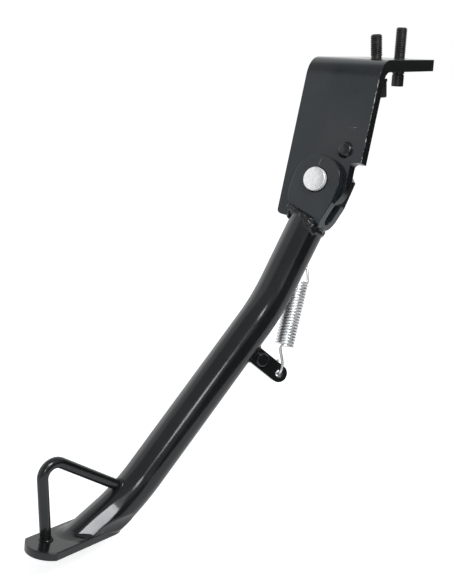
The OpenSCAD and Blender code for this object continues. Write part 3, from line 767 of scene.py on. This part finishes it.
def outside(q):
    """How far a point is past the tread plate's outline, a little inside its edge, in mm."""
    heel = math.hypot(q.x + TREAD_SHIFT, q.y - HEEL) - TREAD_HALF if q.y > HEEL else -99.0
    return max(q.x - TREAD_SIDE, -(TREAD_HALF + TREAD_SHIFT) - q.x, heel)


def foot_fillet():
    """Smooth weld between the slanted tube and the tread plate, drawn down to the plate's right side."""
    _, _, end, last = leg_route()
    back = FOOT.inverted() @ LEG
    turn = back.to_3x3()
    a = (turn @ last).normalized()
    other = last.cross(Vector((1, 0, 0)))
    count, steps = 120, 10
    rows, lows = [], []
    for k in range(count):
        t = 2 * math.pi * k / count
        e = Vector((math.cos(t), 0, 0)) + other * math.sin(t)
        start, e = back @ (end + e * TUBE_R), turn @ e
        q = start - a * (start.z / a.z)
        q = pressed(q, a * q.dot(a), -q.dot(a))
        out = Vector((e.x, e.y, 0)).normalized()
        past = outside(q)
        room = 0.0
        while past <= 0 and room < 7.0 and outside(q + out * (room + 0.1)) <= 0:
            room += 0.1
        over = ease(min(1.0, max(0.0, past / 2.6)))
        low = q + out * room if past <= 0 else q - out * (past - 0.15)
        low.z = -4.2 * over
        rows.append((q, e, out, past, over))
        lows.append(low)
    for _ in range(10):
        lows = [(lows[k - 1] + lows[k] * 2 + lows[(k + 1) % count]) / 4 for k in range(count)]
    rings = [[] for _ in range(steps + 3)]
    for (q, e, out, past, over), low in zip(rows, lows):
        toe = max(0.0, -out.y)
        top = q - a * (6.0 + 4.0 * toe)
        top = pressed(top, a * top.dot(a), -top.dot(a)) - e * 0.15
        mid = Vector((q.x, q.y, -0.6 * over))
        low = low - Vector((0, 0, 0.1))
        for i in range(steps + 1):
            u = i / steps
            rings[i].append(top * (1 - u) ** 2 + mid * (2 * u * (1 - u)) + low * u ** 2)
        inner = q - out * (min(3.0, 2.0 + 0.5 * toe) + max(0.0, past))
        rings[steps + 1].append(Vector((inner.x, inner.y, min(low.z, -0.5))))
        rings[steps + 2].append(top - e * 1.2)
    verts = [FOOT @ q for ring in rings for q in ring]
    faces = []
    for i in range(len(rings)):
        j = (i + 1) % len(rings)
        for k in range(count):
            n = (k + 1) % count
            faces.append((i * count + k, i * count + n, j * count + n, j * count + k))
    return piece("foot_fillet", verts, faces, WELD_PAINT, "leg", "foot_weld", 40.0)


def foot_loop():
    """The bent rod, with its foot on the tread plate and its end in the tube."""
    r, corner_r = 3.5, 8.5
    foot, corner = Vector((36, -0.5)), Vector((44.15, 55.2))
    join_h, tube_lean = 25.2, math.radians(33.1341)
    join = Vector((-(join_h - TUBE_R / math.cos(tube_lean)) / math.tan(tube_lean), join_h))
    down, back = (foot - corner).normalized(), (join - corner).normalized()
    half = math.acos(down.dot(back)) / 2
    run = corner_r / math.tan(half)
    mid = corner + (down + back).normalized() * (corner_r / math.sin(half))
    a, b = corner + down * run, corner + back * run
    flat = [foot.lerp(a, i / 6) for i in range(6)]
    u, v = a - mid, b - mid
    sweep_a = math.atan2(u.x * v.y - u.y * v.x, u.dot(v))
    for i in range(21):
        t = sweep_a * i / 20
        c, s = math.cos(t), math.sin(t)
        flat.append(mid + Vector((u.x * c - u.y * s, u.x * s + u.y * c)))
    end = join + (join - b).normalized() * 3.0
    flat += [b.lerp(end, i / 6) for i in range(1, 7)]
    pts = [Vector((0, -q.x, q.y)) for q in flat]
    verts, faces = rings_mesh(tube_sweep(pts, r, 32), 32, LOOP)
    return piece("loop_rod", verts, faces, PAINT, "leg", "foot_loop", 60.0)


def plate():
    """The bracket with its lower front corner drawn up, as in the photograph."""
    right, top, keep = -14, -20, 0.73
    me = frame["nodes"]["bracket"].data.copy()
    back = PLATE.inverted()
    for v in me.vertices:
        q = back @ (v.co / MM)
        if q.x < right and q.z < top:
            q.z = top + (q.z - top) * keep
            v.co = (PLATE @ q) * MM
    return placed(linked("bent_plate", me), "bracket", "bracket")


def pivot_pin():
    """The pin, with a smooth rim to its head."""
    face, head, r = PIN_FACE, PIN_HEAD_R, PIN_R
    neck, clip, clip_t, end = 4.0, 11.8, 1.2, 14.6
    rows = [(0.6, face), (head - 0.7, face), (head - 0.43, face + 0.05), (head - 0.2, face + 0.2),
            (head - 0.05, face + 0.43), (head, face + 0.7), (head, EAR_FACE), (r, EAR_FACE), (r, clip),
            (neck, clip), (neck, clip + clip_t), (r, clip + clip_t), (r, end - 0.7), (r - 0.7, end),
            (0.6, end)]
    verts, faces = rings_mesh(turned(rows, 96), 96, PIN)
    return piece("headed_pin", verts, faces, ZINC, "leg", "pivot_pin")


def stop_stud():
    """Riveted peg with a domed face and paint that runs into its foot."""
    rows = [(0.6, 7.9), (2.4, 7.9), (2.45, 0.4), (5.9, 0.3), (5.45, -0.05), (5.2, -0.35), (5.05, -0.8),
            (4.85, -1.35), (4.55, -1.85), (4.1, -2.3), (3.4, -2.65), (2.3, -2.88), (0.8, -3.0)]
    verts, faces = rings_mesh(turned(rows, 48), 48, STUD)
    faces = [tuple(reversed(f)) for f in faces]
    return piece("domed_stud", verts, faces, PAINT, "bracket", "stop_stud", 40.0)


front_bolt()
rear_stud()
spring()
leg_tube()
foot_fillet()
foot_loop()
pivot_pin()
stop_stud()
plate()
beads()


# Stage and light, in metres
FLOOR_Z, FLAG_Z = -0.3165, -0.315
LIGHT_TARGET = Vector((-0.02, -0.12, -0.15))


def seen_mask(tree):
    """1 for the rays that show the background: camera, glossy and transmission."""
    path = tree.nodes.new("ShaderNodeLightPath")
    last = path.outputs["Is Camera Ray"]
    for key in ("Is Glossy Ray", "Is Transmission Ray"):
        add = tree.nodes.new("ShaderNodeMath")
        add.operation = "ADD"
        add.use_clamp = True
        tree.links.new(last, add.inputs[0])
        tree.links.new(path.outputs[key], add.inputs[1])
        last = add.outputs[0]
    return last, path


def stage():
    """A pale floor with a glow for the rays that show the background, so it ends up white."""
    me = bpy.data.meshes.new("floor")
    s, pale = 8.0, 0.82
    me.from_pydata([(-s, -s, 0), (s, -s, 0), (s, s, 0), (-s, s, 0)], [], [(0, 1, 2, 3)])
    floor = linked("floor", me)
    floor.location = (0, 0, FLOOR_Z)
    n = Nodes("pale_floor")
    n.bsdf.inputs["Base Color"].default_value = (pale, pale, pale, 1)
    n.bsdf.inputs["Roughness"].default_value = 0.9
    n.bsdf.inputs["Specular IOR Level"].default_value = 0.0
    glow = n.tree.nodes.new("ShaderNodeEmission")
    mask, path = seen_mask(n.tree)
    low = n.math("MULTIPLY", path.outputs["Is Glossy Ray"], 0.5)
    n.tree.links.new(n.math("SUBTRACT", n.math("MULTIPLY", mask, 0.62), low), glow.inputs["Strength"])
    both = n.tree.nodes.new("ShaderNodeAddShader")
    n.tree.links.new(n.bsdf.outputs[0], both.inputs[0])
    n.tree.links.new(glow.outputs[0], both.inputs[1])
    n.tree.links.new(both.outputs[0], n.out.inputs["Surface"])
    me.materials.append(n.mat)
    floor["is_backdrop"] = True


def flag():
    """A low dark card beside and behind the object, seen in its reflections only."""
    far, low_edge, lift = 0.5, 0.27, 0.001
    verts, faces = [], []
    for i in range(21):
        az = 54 + 6 * i
        a = math.radians(az)
        near = 0.24 if az < 112 else far
        top = low_edge + 0.11 * min(1.0, max(0.0, (az - 96) / 20))
        for r, z in ((near, lift), (far, lift), (far, top)):
            verts.append((r * math.sin(a), -0.1 - r * math.cos(a), z))
        if i:
            k = 3 * i
            faces += [(k - 2, k + 1, k + 2, k - 1), (k - 3, k, k + 1, k - 2)]
    me = bpy.data.meshes.new("flag")
    me.from_pydata(verts, [], faces)
    card = linked("flag", me)
    card.location = (0, 0, FLAG_Z)
    n = Nodes("dark_card")
    n.bsdf.inputs["Base Color"].default_value = (0.01, 0.01, 0.01, 1)
    n.bsdf.inputs["Roughness"].default_value = 1.0
    n.bsdf.inputs["Specular IOR Level"].default_value = 0.0
    me.materials.append(n.mat)
    card.visible_camera = False
    card.visible_diffuse = False
    card.visible_transmission = False
    card.visible_shadow = False
    card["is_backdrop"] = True


def world():
    """Soft light for the surfaces, and a white studio for the rays that show the background."""
    w = bpy.data.worlds.new("world")
    bpy.context.scene.world = w
    w.use_nodes = True
    t = w.node_tree
    t.nodes.clear()
    out = t.nodes.new("ShaderNodeOutputWorld")
    light = t.nodes.new("ShaderNodeBackground")
    light.inputs["Color"].default_value = (0.96, 0.98, 1.0, 1)
    light.inputs["Strength"].default_value = 0.5
    seen = t.nodes.new("ShaderNodeBackground")
    seen.inputs["Color"].default_value = (1, 1, 1, 1)
    mask, path = seen_mask(t)

    def calc(op, a, b, clamp=False):
        n = t.nodes.new("ShaderNodeMath")
        n.operation = op
        n.use_clamp = clamp
        for i, v in enumerate((a, b)):
            if isinstance(v, bpy.types.NodeSocket):
                t.links.new(v, n.inputs[i])
            else:
                n.inputs[i].default_value = v
        return n.outputs[0]

    # The front and right of the studio are dim in reflections, more so higher up
    xyz = t.nodes.new("ShaderNodeSeparateXYZ")
    t.links.new(t.nodes.new("ShaderNodeTexCoord").outputs["Generated"], xyz.inputs[0])
    right = calc("MULTIPLY", xyz.outputs["X"], 0.87)
    side = calc("SUBTRACT", right, calc("MULTIPLY", xyz.outputs["Y"], 0.5))
    high = calc("MULTIPLY", calc("MAXIMUM", calc("SUBTRACT", xyz.outputs["Z"], 0.45), 0.0), 1.4)
    dim = calc("MULTIPLY", calc("ADD", side, high), 4.5, True)
    dim = calc("MULTIPLY", calc("MULTIPLY", dim, path.outputs["Is Glossy Ray"]), 0.58)
    t.links.new(calc("SUBTRACT", 1.0, dim), seen.inputs["Strength"])
    mix = t.nodes.new("ShaderNodeMixShader")
    t.links.new(mask, mix.inputs[0])
    t.links.new(light.outputs[0], mix.inputs[1])
    t.links.new(seen.outputs[0], mix.inputs[2])
    t.links.new(mix.outputs[0], out.inputs[0])


def lamp(name, azimuth, elevation, distance, size, watts):
    a, e = math.radians(azimuth), math.radians(elevation)
    way = Vector((math.sin(a) * math.cos(e), -math.cos(a) * math.cos(e), math.sin(e)))
    data = bpy.data.lights.new(name, "AREA")
    data.shape = "RECTANGLE"
    data.size, data.size_y = size
    data.energy = watts
    obj = linked(name, data)
    obj.location = LIGHT_TARGET + way * distance
    obj.rotation_euler = (-way).to_track_quat("-Z", "Y").to_euler()


stage()
flag()
world()
lamp("key", 66, 46, 1.5, (0.52, 0.52), 11.0)
lamp("soft", 62, 48, 1.6, (1.0, 1.0), 4.0)
lamp("front", 41, 20, 1.5, (0.22, 0.22), 1.8)
lamp("fill", -95, 14, 1.5, (1.1, 0.7), 1.5)
bpy.context.scene.view_settings.view_transform = "Standard"

size_at_end = plain(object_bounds())
